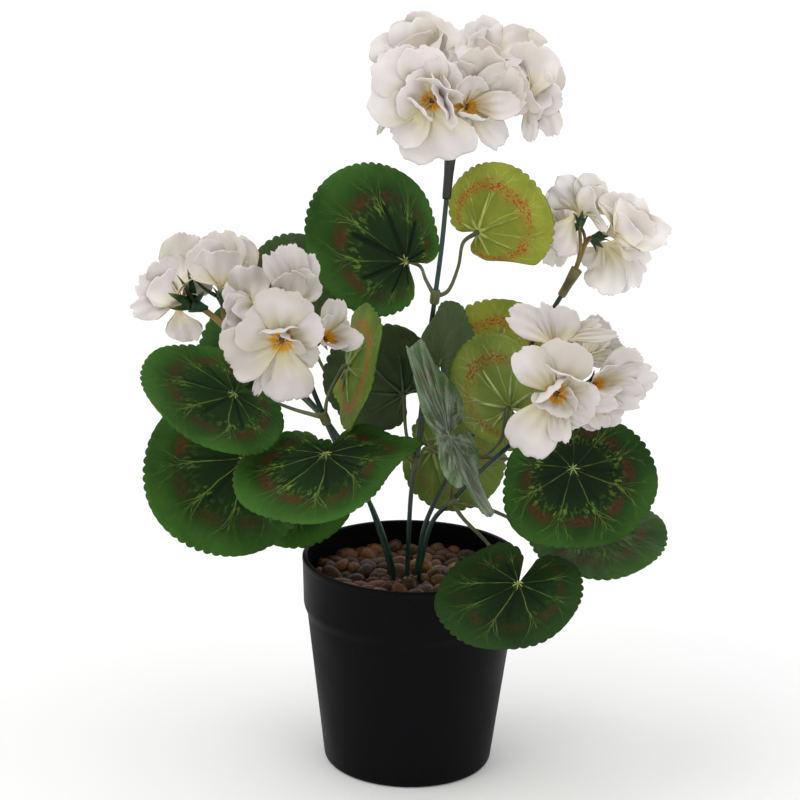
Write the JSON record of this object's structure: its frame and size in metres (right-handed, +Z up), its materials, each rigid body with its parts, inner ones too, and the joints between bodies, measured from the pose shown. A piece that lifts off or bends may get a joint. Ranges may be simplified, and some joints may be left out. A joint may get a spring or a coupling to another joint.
{
  "type": "potted geranium",
  "caption": "Artificial geranium in a small tapered black pot: wire stems carry cloth leaves and clusters of white flowers above a bed of glued pebbles.",
  "frame": {"origin": "centre of the pot's flat underside", "axes": "+Z up along the pot's axis; -Y is the front, from which the plant is arranged to be seen; +X is to the right of it"},
  "size_m": [0.2642, 0.1663, 0.3811],
  "materials": {
    "pot_plastic": "satin black moulded polypropylene",
    "fill": "rough weighted foam, hidden",
    "pebble": "polished brown and grey pebbles, glued",
    "coated_wire": "dark green coated wire, semi-gloss",
    "stalk_plastic": "olive moulded polyethylene",
    "leaf_cloth": "printed green cloth, finely woven",
    "pale_leaf_cloth": "light green back of printed cloth",
    "petal_cloth": "warm white cloth, finely woven"
  },
  "bodies": {
    "root": {"floret_left_back_1": "petal_cloth", "floret_left_back_2": "petal_cloth", "floret_left_back_3": "petal_cloth", "floret_left_front_1": "petal_cloth", "floret_left_front_2": "petal_cloth", "floret_left_front_3": "petal_cloth", "floret_left_front_4": "petal_cloth", "floret_right_high_1": "petal_cloth", "floret_right_high_2": "petal_cloth", "floret_right_high_3": "petal_cloth", "floret_right_high_4": "petal_cloth", "floret_right_low_1": "petal_cloth", "floret_right_low_2": "petal_cloth", "floret_right_low_3": "petal_cloth", "floret_right_low_4": "petal_cloth", "floret_right_low_5": "petal_cloth", "floret_top_1": "petal_cloth", "floret_top_2": "petal_cloth", "floret_top_3": "petal_cloth", "floret_top_4": "petal_cloth", "floret_top_5": "petal_cloth", "floret_top_6": "petal_cloth", "floret_top_7": "petal_cloth", "leaf_back_high": "leaf_cloth", "leaf_back_left": "leaf_cloth", "leaf_centre_back": "leaf_cloth", "leaf_centre_front": "leaf_cloth", "leaf_centre_high": "leaf_cloth", "leaf_folded_left": "leaf_cloth", "leaf_front_left": "leaf_cloth", "leaf_front_low": "leaf_cloth", "leaf_left_high": "leaf_cloth", "leaf_left_low": "leaf_cloth", "leaf_pale_back": "pale_leaf_cloth", "leaf_pale_low": "pale_leaf_cloth", "leaf_pale_right": "pale_leaf_cloth", "leaf_right_front": "leaf_cloth", "leaf_right_low": "leaf_cloth", "leaf_spray_centre": "stalk_plastic", "leaf_spray_left_back": "stalk_plastic", "leaf_spray_left_front": "stalk_plastic", "leaf_spray_right_back": "stalk_plastic", "leaf_spray_right_front": "stalk_plastic", "leaf_spray_upper": "stalk_plastic", "leaf_under_left": "leaf_cloth", "leaf_upper_left": "leaf_cloth", "leaf_upper_right": "pale_leaf_cloth", "pebble_bed": "pebble", "pot": "pot_plastic", "pot_fill": "fill", "stem_centre": "coated_wire", "stem_left_back": "coated_wire", "stem_left_front": "coated_wire", "stem_right_back": "coated_wire", "stem_right_front": "coated_wire", "umbel_left_back": "stalk_plastic", "umbel_left_front": "stalk_plastic", "umbel_right_high": "stalk_plastic", "umbel_right_low": "stalk_plastic", "umbel_top": "stalk_plastic"}
  },
  "joints": []
}
